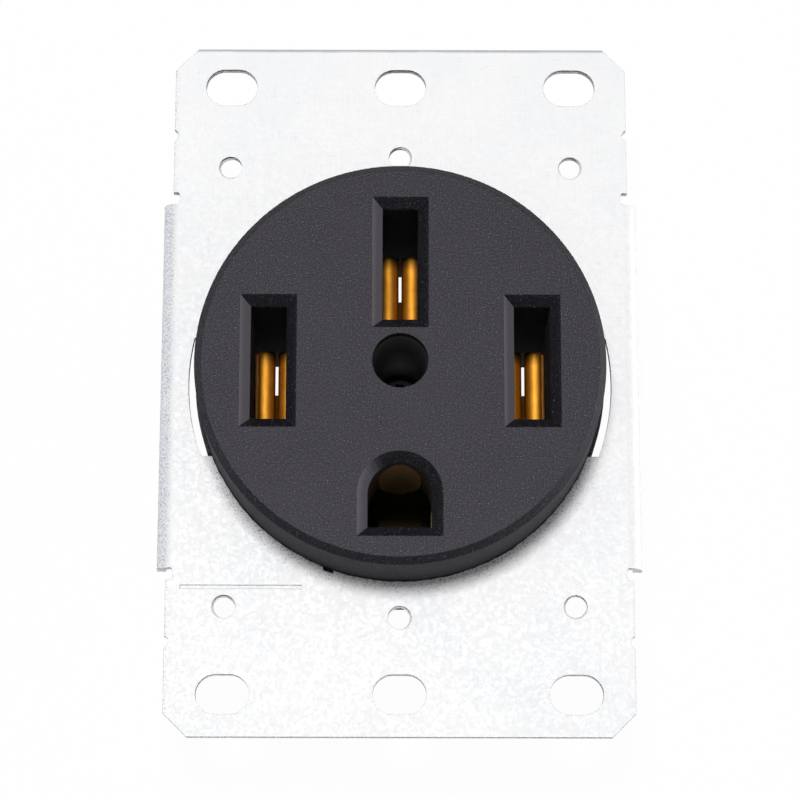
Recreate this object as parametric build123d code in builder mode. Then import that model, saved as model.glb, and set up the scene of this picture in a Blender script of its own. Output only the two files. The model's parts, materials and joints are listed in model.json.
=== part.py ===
from build123d import *
import os

# Flush-mounting four-wire power socket, 50 A class, lying on its back.
# Millimetres. X runs across the strap, Y along it with the neutral slot at +Y,
# and Z out of the face. The origin is the middle of the screw pattern, on the
# back of the mounting strap.

# Mounting strap
strap_end_margin = 5.53
strap_side_margin = 7.68
strap_thickness = 1.2
corner_cut = 3.1
wing_length = 50.0
wing_outset = 1.3
wing_bend_radius = 0.8
wing_drop = 3.0
relief_width = 1.6
relief_corner = 0.5
relief_inset = 0.2
snap_notch_radius = 0.8
snap_notch_outset = 0.25
snap_notch_pitch = 69.6

# Holes in the strap
box_pitch_x = 46.04
box_pitch_y = 83.34
box_slot_length = 7.0
box_slot_width = 5.2
plate_pitch_x = 46.04
plate_pitch_y = 60.32
plate_middle_pitch = 63.2
plate_hole_diameter = 3.1
opening_radius = 25.6
key_notch_reach = 2.55
key_notch_top = 6.2
key_notch_bottom = -10.0
locating_notch_reach = 1.6
locating_notch_x = -9.375
locating_notch_width = 1.35
gauge_length = 16.0
gauge_width = 0.5
gauge_depth = 0.15
gauge_edge_gap = 1.9
gauge_y = -27.55

# Face
face_overlap = 1.1
face_height = 12.0
rim_bevel = 0.9
foot_bevel = 0.3
front_wall = 3.2
skirt_wall = 2.4
shaft_wall = 1.5
keeper_thickness = 2.2
keeper_gap = 0.1
rib_thickness = 1.2
rib_angle = 45.0
mouth_chamfer = 1.35
blade_slot_width = 4.65
blade_slot_length = 15.0
line_slot_x = 17.1
neutral_slot_y = 13.3
ground_slot_width = 8.35
ground_slot_y = -17.5
ground_slot_foot = 4.25
centre_hole_diameter = 7.26
centre_hole_depth = 23.7
boss_wall = 0.9
boss_floor = 1.8

# Body
body_side_wall = 2.4
body_end_wall = 2.35
body_depth = 23.5
body_corner_radius = 12.0
body_floor = 1.5
body_edge = 0.8
spigot_clearance = 0.3
key_reach = 1.6
key_clearance = 0.4
key_depth = 6.0
tower_width = 19.0
side_tower_width = 14.0
tower_height = 13.5
tower_recess = 0.3
shelf_width = 11.0
shelf_reach = 29.0
shelf_depth = 4.5
pocket_clearance = 0.3
ground_pocket_clearance = 0.6
wire_funnel = 0.9
driver_bore_diameter = 7.4

# Jaws that grip the blades
jaw_inset = 0.5
jaw_length = 10.7
jaw_thickness = 0.8
jaw_headroom = 3.7
jaw_gap = 0.38
flare_radius = 1.4
flare_sweep = 130.0
jaw_half_width = 2.05
jaw_bend_radius = 1.0
jaw_neck_rise = 2.4
tail_width = 4.6
tail_floor_gap = 1.5
tail_front = 1.0

# Steel clips behind the jaws
clip_thickness = 0.7
clip_gap = 0.2
clip_drop = 1.2
clip_lug_gap = 0.6
clip_length = 10.0
clip_relief = 0.3
clip_seat = 0.1

# Ground jaw
ground_jaw_inset = 2.6
ground_jaw_gap = 3.0
ground_jaw_width = 5.8
ground_tongue_width = 3.8
ground_web_reach = 4.3
ground_flare_radius = 3.0
ground_flare_sweep = 95.0
ground_leg_offset = 4.1
ground_neck_rise = 1.9
ground_jaw_lug_gap = 1.2

# Terminal lugs and their screws
lug_wire_width = 7.8
lug_wire_length = 8.35
lug_side_wall = 1.5
lug_inner_wall = 1.4
lug_screw_wall = 2.0
lug_height = 10.2
lug_edge = 0.5
tail_clearance = 0.1
screw_diameter = 6.0
screw_clearance = 0.05
screw_length = 6.0
screw_slot_width = 1.1
screw_slot_depth = 1.5
ground_lug_x = -13.4
ground_lug_inset = -0.3

# Middle screw that holds face and body together
bolt_diameter = 4.0
bolt_clearance = 0.2
head_diameter = 6.6
head_height = 2.4
head_chamfer = 0.7
drive_width = 1.1
drive_length = 4.0
drive_depth = 1.3
washer_thickness = 0.8
washer_diameter = 6.9
washer_gap = 0.6
nut_across_flats = 7.0
nut_height = 3.0
nut_recess = 3.3
nut_clearance = 0.15

# Bonding strip from the ground jaw to the strap
bond_width = 6.0
bond_thickness = 0.6
bond_setback = 0.6
bond_rise = 1.6

# Levels and places that follow from the sizes above
strap_length = box_pitch_y + 2 * strap_end_margin
strap_width = box_pitch_x + 2 * strap_side_margin
strap_front = strap_thickness
wing_span = strap_width + 2 * wing_outset
wing_outer_radius = wing_bend_radius + strap_thickness
bend_start = wing_span / 2 - wing_outer_radius
relief_floor = bend_start - relief_inset
key_notch_radius = opening_radius + key_notch_reach
locating_notch_radius = opening_radius + locating_notch_reach
key_radius = opening_radius + key_reach
gauge_x = (gauge_length - strap_width) / 2 + gauge_edge_gap
face_radius = opening_radius + face_overlap
face_top = strap_front + face_height
hole_floor = face_top - centre_hole_depth
boss_radius = centre_hole_diameter / 2 + boss_wall
boss_end = hole_floor - boss_floor
jaw_top = strap_front - jaw_headroom
pinch_level = jaw_top - flare_radius
ground_pinch_level = jaw_top - ground_flare_radius
clip_top = jaw_top - clip_drop
pocket_floor = -body_depth + body_floor
lug_top = pocket_floor + lug_height
clip_level = lug_top + clip_lug_gap + clip_thickness
jaw_base_level = clip_level + clip_seat + jaw_thickness
jaw_neck_level = jaw_base_level + jaw_neck_rise
tail_end_level = pocket_floor + tail_floor_gap
screw_level = (pocket_floor + lug_top) / 2
lug_width = lug_wire_width + 2 * lug_side_wall
wire_near = tail_front - jaw_thickness - tail_clearance
wire_middle = wire_near + lug_wire_length / 2
wire_far = wire_near + lug_wire_length
jaw_x = line_slot_x - jaw_inset
ground_jaw_y = ground_slot_y + ground_jaw_inset
ground_lug_y = ground_jaw_y + ground_lug_inset
ground_foot_level = lug_top + ground_jaw_lug_gap
ground_neck_level = ground_foot_level + ground_neck_rise
bond_end_level = ground_foot_level + bond_rise
bond_reach = shelf_reach - bond_setback
pocket_near = -(blade_slot_length / 2 + tail_clearance)
end_pocket_half = lug_width / 2 + pocket_clearance
end_pocket_far = wire_far + lug_screw_wall + pocket_clearance
side_pocket_half = lug_wire_width / 2 + lug_screw_wall + pocket_clearance
side_pocket_far = wire_far + lug_side_wall + pocket_clearance
ground_pocket_half = ground_leg_offset + jaw_thickness + bond_thickness + tail_clearance
body_width = 2 * (jaw_x + side_pocket_half + body_side_wall)
body_reach = neutral_slot_y + end_pocket_far + body_end_wall
tower_reach = neutral_slot_y + wire_far + screw_length + tower_recess
side_tower_reach = jaw_x + lug_wire_width / 2 + screw_length + tower_recess
jaw_places = {
    "line_x": (-jaw_x, 0.0),
    "line_y": (jaw_x, 0.0),
    "neutral": (0.0, neutral_slot_y),
}
slot_places = [(-line_slot_x, 0.0), (line_slot_x, 0.0), (0.0, neutral_slot_y)]

os.makedirs("parts", exist_ok=True)


def save(piece, name):
    """Label one finished piece and write it as its own file."""
    piece.label = name
    export_step(piece, f"parts/{name}.step")


def ground_outline(grow=0.0):
    """The ground slot: a half circle towards the middle, closed by a flat foot."""
    radius = ground_slot_width / 2 + grow
    foot = ground_slot_foot + grow
    with BuildSketch(mode=Mode.PRIVATE) as outline:
        with Locations((0, ground_slot_y)):
            Circle(radius)
        with Locations((0, ground_slot_y - foot / 2)):
            Rectangle(2 * radius, foot)
        with Locations((0, ground_slot_y - foot - radius)):
            Rectangle(2 * radius, 2 * radius, mode=Mode.SUBTRACT)
    return outline.sketch


def key_band(radius, top, bottom):
    """The part of a disc between two levels of Y: the strap's key notches, or the body's keys."""
    with BuildSketch(mode=Mode.PRIVATE) as band:
        Circle(radius)
        with Locations((0, (top + bottom) / 2)):
            Rectangle(2 * radius, top - bottom, mode=Mode.INTERSECT)
    return band.sketch


# Strap: one folded sheet with two stiffening wings
with BuildPart() as strap:
    with BuildSketch() as blank:
        Rectangle(strap_width, strap_length)
        chamfer(blank.vertices(), corner_cut)
        for side in (-1, 1):
            with Locations((side * (bend_start + strap_width / 2), 0)):
                Rectangle(strap_width, wing_length + 2 * relief_width, mode=Mode.SUBTRACT)
            for end in (-1, 1):
                relief_y = end * (wing_length + relief_width) / 2
                with Locations((side * (relief_floor + strap_width / 2), relief_y)):
                    RectangleRounded(strap_width, relief_width, relief_corner, mode=Mode.SUBTRACT)
        with GridLocations(strap_width + 2 * snap_notch_outset, snap_notch_pitch, 2, 2):
            Circle(snap_notch_radius, mode=Mode.SUBTRACT)
        Circle(opening_radius, mode=Mode.SUBTRACT)
        add(key_band(key_notch_radius, key_notch_top, key_notch_bottom), mode=Mode.SUBTRACT)
        with BuildSketch(mode=Mode.PRIVATE) as locating_notch:
            Circle(locating_notch_radius)
            with Locations((locating_notch_x, -opening_radius)):
                Rectangle(locating_notch_width, opening_radius, mode=Mode.INTERSECT)
        add(locating_notch.sketch, mode=Mode.SUBTRACT)
        with GridLocations(box_pitch_x / 2, box_pitch_y, 3, 2):
            SlotOverall(box_slot_length, box_slot_width, mode=Mode.SUBTRACT)
        with GridLocations(plate_pitch_x, plate_pitch_y, 2, 2):
            Circle(plate_hole_diameter / 2, mode=Mode.SUBTRACT)
        with GridLocations(plate_pitch_x, plate_middle_pitch, 1, 2):
            Circle(plate_hole_diameter / 2, mode=Mode.SUBTRACT)
    extrude(amount=strap_thickness)
    with BuildSketch(Plane.XZ):
        with BuildLine():
            bend_centre = (bend_start, strap_front - wing_outer_radius)
            outside = CenterArc(bend_centre, wing_outer_radius, 0, 90)
            inside = CenterArc(bend_centre, wing_bend_radius, 0, 90)
            Line(outside @ 1, inside @ 1)
            Polyline(
                outside @ 0,
                (wing_span / 2, strap_front - wing_drop),
                (wing_span / 2 - strap_thickness, strap_front - wing_drop),
                inside @ 0,
            )
        make_face()
        mirror(about=Plane.YZ)
    extrude(amount=wing_length / 2, both=True)
    with BuildSketch(Plane.XY.offset(strap_front)):
        with Locations((gauge_x, gauge_y)):
            Rectangle(gauge_length, gauge_width)
    extrude(amount=-gauge_depth, mode=Mode.SUBTRACT)
save(strap.part, "mounting_strap")

# Face: a moulded cup with a shaft behind every opening and posts that keep the lugs in
with BuildPart() as face:
    with BuildSketch(Plane.XY.offset(strap_front)):
        Circle(face_radius)
    extrude(amount=face_height)
    chamfer(face.edges().sort_by(Axis.Z)[-1], rim_bevel)
    chamfer(face.edges().sort_by(Axis.Z)[0], foot_bevel)
    with BuildSketch(Plane.XY.offset(strap_front)):
        Circle(face_radius - skirt_wall)
        with Locations(*slot_places):
            Rectangle(
                blade_slot_width + 2 * shaft_wall,
                blade_slot_length + 2 * shaft_wall,
                mode=Mode.SUBTRACT,
            )
        add(ground_outline(shaft_wall), mode=Mode.SUBTRACT)
        Circle(boss_radius, mode=Mode.SUBTRACT)
        for angle in (rib_angle, -rib_angle):
            with Locations(Location((0, 0), angle)):
                Rectangle(2 * face_radius, rib_thickness, mode=Mode.SUBTRACT)
    extrude(amount=face_height - front_wall, mode=Mode.SUBTRACT)
    with BuildSketch(Plane.XY.offset(boss_end)):
        Circle(boss_radius)
    extrude(amount=face_top - front_wall - boss_end)
    with BuildSketch(Plane.XY.offset(lug_top + keeper_gap)):
        for middle_x, middle_y in slot_places:
            with Locations((middle_x, middle_y - pocket_near + keeper_thickness / 2)):
                Rectangle(blade_slot_width + 2 * shaft_wall, keeper_thickness)
    extrude(amount=face_top - front_wall - lug_top - keeper_gap)
    with BuildSketch(Plane.XY.offset(strap_front)):
        with Locations(*slot_places):
            Rectangle(blade_slot_width, blade_slot_length)
        add(ground_outline())
    extrude(amount=face_height, mode=Mode.SUBTRACT)
    mouths = face.faces().sort_by(Axis.Z)[-1].inner_wires()
    chamfer([edge for mouth in mouths for edge in mouth.edges()], mouth_chamfer)
    with BuildSketch(Plane.XY.offset(hole_floor)):
        Circle(centre_hole_diameter / 2)
    extrude(amount=centre_hole_depth, mode=Mode.SUBTRACT)
    with BuildSketch(Plane.XY.offset(boss_end)):
        Circle(bolt_diameter / 2 + bolt_clearance)
    extrude(amount=boss_floor, mode=Mode.SUBTRACT)
save(face.part, "face")

# Body: the moulding behind the strap, with pockets loaded from the front
with BuildPart() as body:
    with BuildSketch(Plane.XY.offset(-body_depth)):
        RectangleRounded(body_width, 2 * body_reach, body_corner_radius)
    extrude(amount=body_depth)
    with BuildSketch(Plane.XY.offset(-body_depth)):
        with Locations((0, tower_reach / 2)):
            Rectangle(tower_width, tower_reach)
        with Locations((0, wire_middle)):
            Rectangle(2 * side_tower_reach, side_tower_width)
    extrude(amount=tower_height)
    chamfer(body.faces().sort_by(Axis.Z)[0].edges(), body_edge)
    with BuildSketch(Plane.XY.offset(-shelf_depth)):
        with Locations((0, -shelf_reach / 2)):
            Rectangle(shelf_width, shelf_reach)
    extrude(amount=shelf_depth)
    with BuildSketch():
        Circle(opening_radius - spigot_clearance)
    extrude(amount=strap_front)
    key_top = key_notch_top - key_clearance
    key_bottom = key_notch_bottom + key_clearance
    with BuildSketch(Plane.XY.offset(-key_depth)):
        add(key_band(key_radius, key_top, key_bottom))
    extrude(amount=key_depth + strap_front)
    with BuildSketch(Plane.XY.offset(pocket_floor)):
        with Locations((0, neutral_slot_y + (pocket_near + end_pocket_far) / 2)):
            Rectangle(2 * end_pocket_half, end_pocket_far - pocket_near)
        for side in (-1, 1):
            with Locations((side * jaw_x, (pocket_near + side_pocket_far) / 2)):
                Rectangle(2 * side_pocket_half, side_pocket_far - pocket_near)
        with Locations((ground_lug_x - (lug_screw_wall - lug_inner_wall) / 2, ground_lug_y)):
            Rectangle(
                lug_wire_length + lug_screw_wall + lug_inner_wall + 2 * pocket_clearance,
                lug_width + 2 * pocket_clearance,
            )
        with Locations((0, ground_jaw_y)):
            Rectangle(
                2 * (ground_web_reach + jaw_thickness + ground_pocket_clearance),
                2 * ground_pocket_half,
            )
        with Locations((ground_lug_x / 2, ground_lug_y)):
            Rectangle(-ground_lug_x, tail_width + 2 * pocket_clearance)
    extrude(amount=strap_front - pocket_floor, mode=Mode.SUBTRACT)
    with BuildSketch(Plane.XY.offset(-body_depth)):
        for middle_x, middle_y in jaw_places.values():
            with Locations((middle_x, middle_y + wire_middle)):
                Rectangle(lug_wire_width, lug_wire_length)
        with Locations((ground_lug_x, ground_lug_y)):
            Rectangle(lug_wire_length, lug_wire_width)
    extrude(amount=body_floor, mode=Mode.SUBTRACT)
    back = body.faces().sort_by(Axis.Z)[0]
    chamfer([edge for hole in back.inner_wires() for edge in hole.edges()], wire_funnel)
    with BuildSketch(Plane.XZ.offset(-neutral_slot_y - wire_middle)):
        with Locations((0, screw_level)):
            Circle(driver_bore_diameter / 2)
    extrude(amount=-tower_reach, mode=Mode.SUBTRACT)
    for side in (-1, 1):
        with BuildSketch(Plane.YZ.offset(side * jaw_x)):
            with Locations((wire_middle, screw_level)):
                Circle(driver_bore_diameter / 2)
        extrude(amount=side * side_tower_reach, mode=Mode.SUBTRACT)
    with BuildSketch(Plane.YZ.offset(ground_lug_x)):
        with Locations((ground_lug_y, screw_level)):
            Circle(driver_bore_diameter / 2)
    extrude(amount=-body_width / 2, mode=Mode.SUBTRACT)
    with BuildSketch(Plane.XY.offset(boss_end)):
        Circle(boss_radius + pocket_clearance)
    extrude(amount=strap_front - boss_end, mode=Mode.SUBTRACT)
    with BuildSketch(Plane.XY.offset(-body_depth)):
        Circle(bolt_diameter / 2 + bolt_clearance)
    extrude(amount=body_depth, mode=Mode.SUBTRACT)
    with BuildSketch(Plane.XY.offset(-body_depth)):
        RegularPolygon(nut_across_flats / 2 + nut_clearance, 6, major_radius=False)
    extrude(amount=nut_recess, mode=Mode.SUBTRACT)
    with BuildSketch(Plane.XY.offset(-bond_thickness)):
        with Locations((0, -bond_reach / 2 + ground_jaw_y / 2)):
            Rectangle(bond_width + 2 * pocket_clearance, bond_reach + ground_jaw_y + tail_clearance)
    extrude(amount=bond_thickness + strap_front, mode=Mode.SUBTRACT)
save(body.part, "body")

# Line and neutral jaws: a folded strip that grips the blade and reaches into the lug
with BuildPart() as jaw:
    with BuildSketch(Plane.XZ):
        with BuildLine():
            CenterArc((jaw_gap / 2 + flare_radius, pinch_level), flare_radius, 180 - flare_sweep, flare_sweep)
            FilletPolyline(
                (jaw_gap / 2, pinch_level),
                (jaw_half_width, jaw_neck_level),
                (jaw_half_width, jaw_base_level),
                (0, jaw_base_level),
                radius=jaw_bend_radius,
            )
            offset(amount=jaw_thickness, side=Side.LEFT)
        make_face()
        mirror(about=Plane.YZ)
    extrude(amount=jaw_length / 2, both=True)
    with BuildSketch(Plane.XY.offset(jaw_base_level - jaw_thickness)):
        with Locations((0, tail_front + jaw_length / 2)):
            Rectangle(4 * jaw_half_width, jaw_length)
    extrude(amount=jaw_neck_rise + jaw_thickness, mode=Mode.SUBTRACT)
    with BuildSketch(Plane.XZ.offset(-tail_front)):
        with Locations((0, (jaw_base_level + tail_end_level) / 2)):
            Rectangle(tail_width, jaw_base_level - tail_end_level)
    extrude(amount=jaw_thickness)

# Steel clips that press the jaws together, notched in the base for the jaw's tail
clip_half = jaw_half_width + jaw_thickness + clip_gap
with BuildPart() as clip:
    with BuildSketch(Plane.XZ):
        with BuildLine():
            FilletPolyline(
                (clip_half, clip_top), (clip_half, clip_level), (0, clip_level), radius=jaw_bend_radius
            )
            offset(amount=clip_thickness, side=Side.LEFT)
        make_face()
        mirror(about=Plane.YZ)
    extrude(amount=clip_length / 2, both=True)
    with BuildSketch(Plane.XY.offset(clip_level - clip_thickness)):
        with Locations((0, tail_front - jaw_thickness - clip_relief + clip_length / 2)):
            Rectangle(tail_width + 2 * clip_relief, clip_length)
    extrude(amount=2 * clip_thickness, mode=Mode.SUBTRACT)


def wire_lug(side_screw):
    """A box tunnel round the wire, its origin on the wire's axis, with one thicker, tapped wall."""
    side_wall = lug_screw_wall if side_screw else lug_side_wall
    far_wall = lug_side_wall if side_screw else lug_screw_wall
    with BuildPart() as lug:
        with BuildSketch(Plane.XY.offset(pocket_floor)) as lug_plan:
            with Locations(((side_wall - lug_side_wall) / 2, (far_wall - lug_inner_wall) / 2)):
                Rectangle(
                    lug_wire_width + lug_side_wall + side_wall, lug_wire_length + lug_inner_wall + far_wall
                )
            chamfer(lug_plan.vertices(), lug_edge)
            Rectangle(lug_wire_width, lug_wire_length, mode=Mode.SUBTRACT)
        extrude(amount=lug_height)
        with BuildSketch(Plane.YZ if side_screw else Plane.XZ):
            with Locations((0, screw_level)):
                Circle(screw_diameter / 2 + screw_clearance)
        extrude(amount=lug_wire_length if side_screw else -lug_wire_length, mode=Mode.SUBTRACT)
    return lug.part


# Set screw: headless, slotted, its tip flush with the tunnel's wall until a wire is in
with BuildPart() as set_screw:
    with BuildSketch(Plane.XZ):
        with Locations((0, screw_level)):
            Circle(screw_diameter / 2)
    extrude(amount=-screw_length)
    with BuildSketch(Plane.XZ.offset(-screw_length)):
        with Locations((0, screw_level)):
            Rectangle(2 * screw_diameter, screw_slot_width)
    extrude(amount=screw_slot_depth, mode=Mode.SUBTRACT)

end_lug = wire_lug(side_screw=False)
side_lug = wire_lug(side_screw=True)
for name, (place_x, place_y) in jaw_places.items():
    save(jaw.part.moved(Location((place_x, place_y, 0))), f"{name}_jaw")
    save(clip.part.moved(Location((place_x, place_y, 0))), f"{name}_clip")
neutral_wire_y = neutral_slot_y + wire_middle
save(end_lug.moved(Location((0, neutral_wire_y, 0))), "neutral_lug")
save(set_screw.part.moved(Location((0, neutral_slot_y + wire_far, 0))), "neutral_screw")
for name, side in (("line_x", -1), ("line_y", 1)):
    handed_lug = side_lug if side == 1 else side_lug.mirror(Plane.YZ)
    save(handed_lug.moved(Location((side * jaw_x, wire_middle, 0))), f"{name}_lug")
    tunnel_wall = side * (jaw_x + lug_wire_width / 2)
    save(set_screw.part.moved(Location((tunnel_wall, wire_middle, 0), (0, 0, -90 * side))), f"{name}_screw")
ground_tunnel_wall = ground_lug_x - lug_wire_length / 2
save(end_lug.moved(Location((ground_lug_x, ground_lug_y, 0), (0, 0, 90))), "ground_lug")
save(set_screw.part.moved(Location((ground_tunnel_wall, ground_lug_y, 0), (0, 0, 90))), "ground_screw")

# Ground jaw: a narrow tongue and a wider leaf on one web, with a tail into the lug
web_face = -ground_web_reach
tail_x = ground_lug_x + wire_middle - tail_front
ground_leg_face = ground_leg_offset + jaw_thickness
with BuildPart() as ground_jaw:
    with BuildSketch(Plane.YZ.offset(web_face)):
        with BuildLine():
            CenterArc(
                (ground_jaw_gap / 2 + ground_flare_radius, ground_pinch_level),
                ground_flare_radius,
                180 - ground_flare_sweep,
                ground_flare_sweep,
            )
            FilletPolyline(
                (ground_jaw_gap / 2, ground_pinch_level),
                (ground_leg_offset, ground_neck_level),
                (ground_leg_offset, ground_foot_level),
                radius=jaw_bend_radius,
            )
            offset(amount=jaw_thickness, side=Side.LEFT)
        make_face()
        mirror(about=Plane.YZ)
    extrude(amount=ground_web_reach + ground_jaw_width / 2)
    with BuildSketch(Plane.XY.offset(ground_neck_level)):
        Rectangle(4 * ground_web_reach, 4 * ground_leg_face)
        Rectangle(ground_jaw_width, 4 * ground_leg_face, mode=Mode.SUBTRACT)
        with Locations((0, ground_leg_face)):
            Rectangle(ground_jaw_width, 2 * ground_leg_face)
            Rectangle(ground_tongue_width, 2 * ground_leg_face, mode=Mode.SUBTRACT)
    extrude(amount=jaw_top - ground_neck_level, mode=Mode.SUBTRACT)
    with BuildSketch(Plane.YZ.offset(web_face - jaw_thickness)):
        with Locations((0, (ground_foot_level + ground_neck_level) / 2)):
            Rectangle(2 * ground_leg_face, ground_neck_level - ground_foot_level)
    extrude(amount=jaw_thickness)
    with BuildSketch(Plane.XY.offset(ground_foot_level)):
        with Locations(((tail_x + web_face) / 2, ground_lug_inset)):
            Rectangle(web_face - tail_x, tail_width)
    extrude(amount=jaw_thickness)
    with BuildSketch(Plane.YZ.offset(tail_x)):
        with Locations((ground_lug_inset, (ground_foot_level + tail_end_level) / 2)):
            Rectangle(tail_width, ground_foot_level - tail_end_level)
    extrude(amount=jaw_thickness)
save(ground_jaw.part.moved(Location((0, ground_jaw_y, 0))), "ground_jaw")

# Bonding strip, clamped between body and strap
bond_y = ground_jaw_y - ground_leg_face
with BuildPart() as bond:
    with BuildSketch(Plane.YZ.offset(-bond_width / 2)):
        with BuildLine():
            Polyline(
                (-bond_reach, -bond_thickness),
                (-bond_reach, 0),
                (bond_y, 0),
                (bond_y, bond_end_level),
                (bond_y - bond_thickness, bond_end_level),
                (bond_y - bond_thickness, -bond_thickness),
                close=True,
            )
        make_face()
    extrude(amount=bond_width)
save(bond.part, "bonding_strip")

# Middle screw, spring washer and nut
with BuildPart() as bolt:
    with BuildSketch(Plane.XY.offset(hole_floor + washer_thickness)):
        Circle(head_diameter / 2)
    extrude(amount=head_height)
    chamfer(bolt.edges().sort_by(Axis.Z)[-1], head_chamfer)
    with BuildSketch(Plane.XY.offset(hole_floor + washer_thickness + head_height)):
        for angle in (0, 90):
            with Locations(Location((0, 0), angle)):
                Rectangle(drive_length, drive_width)
    extrude(amount=-drive_depth, mode=Mode.SUBTRACT)
    with BuildSketch(Plane.XY.offset(hole_floor + washer_thickness)):
        Circle(bolt_diameter / 2)
    extrude(amount=-(body_depth + hole_floor + washer_thickness))
save(bolt.part, "middle_screw")

with BuildPart() as washer:
    with BuildSketch(Plane.XY.offset(hole_floor)):
        Circle(washer_diameter / 2)
        Circle(bolt_diameter / 2 + bolt_clearance, mode=Mode.SUBTRACT)
        with Locations((washer_diameter / 2, 0)):
            Rectangle(washer_diameter, washer_gap, mode=Mode.SUBTRACT)
    extrude(amount=washer_thickness)
save(washer.part, "spring_washer")

with BuildPart() as nut:
    with BuildSketch(Plane.XY.offset(nut_recess - body_depth - nut_height)):
        RegularPolygon(nut_across_flats / 2, 6, major_radius=False)
        Circle(bolt_diameter / 2 + screw_clearance, mode=Mode.SUBTRACT)
    extrude(amount=nut_height)
save(nut.part, "hex_nut")
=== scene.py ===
import bpy
import bmesh
import json
import math
import random
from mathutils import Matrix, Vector


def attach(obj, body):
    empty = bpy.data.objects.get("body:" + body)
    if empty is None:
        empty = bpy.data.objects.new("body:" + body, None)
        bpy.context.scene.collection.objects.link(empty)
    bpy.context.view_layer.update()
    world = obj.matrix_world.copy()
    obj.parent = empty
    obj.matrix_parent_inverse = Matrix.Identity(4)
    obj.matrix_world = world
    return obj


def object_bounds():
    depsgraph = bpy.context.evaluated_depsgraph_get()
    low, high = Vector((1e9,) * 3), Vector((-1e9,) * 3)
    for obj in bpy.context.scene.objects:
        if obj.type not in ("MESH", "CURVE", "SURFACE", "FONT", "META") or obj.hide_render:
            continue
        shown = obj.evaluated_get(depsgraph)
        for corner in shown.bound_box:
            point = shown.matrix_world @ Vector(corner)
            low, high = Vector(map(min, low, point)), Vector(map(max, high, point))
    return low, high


# Flush-mounting power socket: moulded face on a zinc-coated strap, brass jaws behind the slots.
# Metres, in the CAD model's own frame: X across the strap, Y along it, Z out of the face.

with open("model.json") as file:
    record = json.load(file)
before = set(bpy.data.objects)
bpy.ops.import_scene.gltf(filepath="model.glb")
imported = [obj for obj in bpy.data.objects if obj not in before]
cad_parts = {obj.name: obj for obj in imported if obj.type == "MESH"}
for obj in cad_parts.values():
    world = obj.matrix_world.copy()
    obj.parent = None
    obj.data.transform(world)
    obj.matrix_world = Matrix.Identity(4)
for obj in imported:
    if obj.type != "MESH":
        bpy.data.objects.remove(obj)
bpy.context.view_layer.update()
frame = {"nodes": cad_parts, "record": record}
nodes = frame["nodes"]
mm = 0.001
softStep = 0.1 * mm  # how wide the change from one painted area to the next is
print("frame loaded:", len(nodes), "pieces")


# small helpers

def newMaterial(name):
    material = bpy.data.materials.new(name)
    material.use_nodes = True
    tree = material.node_tree
    tree.nodes.clear()
    output = tree.nodes.new("ShaderNodeOutputMaterial")
    shader = tree.nodes.new("ShaderNodeBsdfPrincipled")
    tree.links.new(shader.outputs["BSDF"], output.inputs["Surface"])
    return material, tree, shader


def put(tree, kind, inputs=None, **settings):
    # one node, with its settings and its inputs: a plain value is set, a socket is linked
    node = tree.nodes.new(kind)
    for key, value in settings.items():
        setattr(node, key, value)
    for key, value in (inputs or {}).items():
        if isinstance(value, bpy.types.NodeSocket):
            tree.links.new(value, node.inputs[key])
        else:
            node.inputs[key].default_value = value
    return node


def objectPlace(tree):
    return put(tree, "ShaderNodeTexCoord").outputs["Object"]


def splitPlace(tree, place):
    return put(tree, "ShaderNodeSeparateXYZ", {"Vector": place}).outputs


def facingOf(tree, normal="True Normal"):
    return splitPlace(tree, put(tree, "ShaderNodeNewGeometry").outputs[normal])


def offAxis(tree, spot):
    # distance from the axis of the face
    flat = put(tree, "ShaderNodeCombineXYZ", {"X": spot["X"], "Y": spot["Y"]}).outputs["Vector"]
    return put(tree, "ShaderNodeVectorMath", {0: flat}, operation="LENGTH").outputs["Value"]


def stretched(tree, place, scale):
    return put(tree, "ShaderNodeMapping", {"Vector": place, "Scale": scale}).outputs["Vector"]


def noise(tree, place, size, detail, roughness):
    # size is the width of one blotch, in metres
    return put(tree, "ShaderNodeTexNoise", {
        "Vector": place, "Scale": 1.0 / size, "Detail": detail, "Roughness": roughness,
    }).outputs["Fac"]


def remap(tree, value, low, high, toLow=0.0, toHigh=1.0):
    return put(tree, "ShaderNodeMapRange", {
        "Value": value, "From Min": low, "From Max": high, "To Min": toLow, "To Max": toHigh,
    }, clamp=True).outputs["Result"]


def calc(tree, operation, a, b=0.0):
    return put(tree, "ShaderNodeMath", {0: a, 1: b}, operation=operation).outputs["Value"]


def times(tree, product, *factors):
    for factor in factors:
        product = calc(tree, "MULTIPLY", product, factor)
    return product


def blend(tree, factor, a, b):
    node = put(tree, "ShaderNodeMix", data_type="RGBA")
    for index, value in ((0, factor), (6, a), (7, b)):  # the colour version's own sockets
        if isinstance(value, bpy.types.NodeSocket):
            tree.links.new(value, node.inputs[index])
        else:
            node.inputs[index].default_value = value
    return node.outputs[2]


def bump(tree, height, depth, under):
    # depth is the height of a full step, in metres; under is the normal that it adds to
    return put(tree, "ShaderNodeBump", {
        "Height": height, "Distance": depth, "Strength": 1.0, "Normal": under,
    }).outputs["Normal"]


def roundedEdges(tree, radius):
    return put(tree, "ShaderNodeBevel", {"Radius": radius}, samples=6).outputs["Normal"]


def edgeMask(tree, radius, low=0.04, high=0.25):
    # 1 on a line along each edge, 0 on the flats
    soft = roundedEdges(tree, radius)
    flat = put(tree, "ShaderNodeNewGeometry").outputs["True Normal"]
    match = put(tree, "ShaderNodeVectorMath", {0: soft, 1: flat}, operation="DOT_PRODUCT").outputs["Value"]
    return remap(tree, calc(tree, "SUBTRACT", 1.0, match), low, high)


def grey(level):
    return (level, level, level, 1.0)


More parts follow.
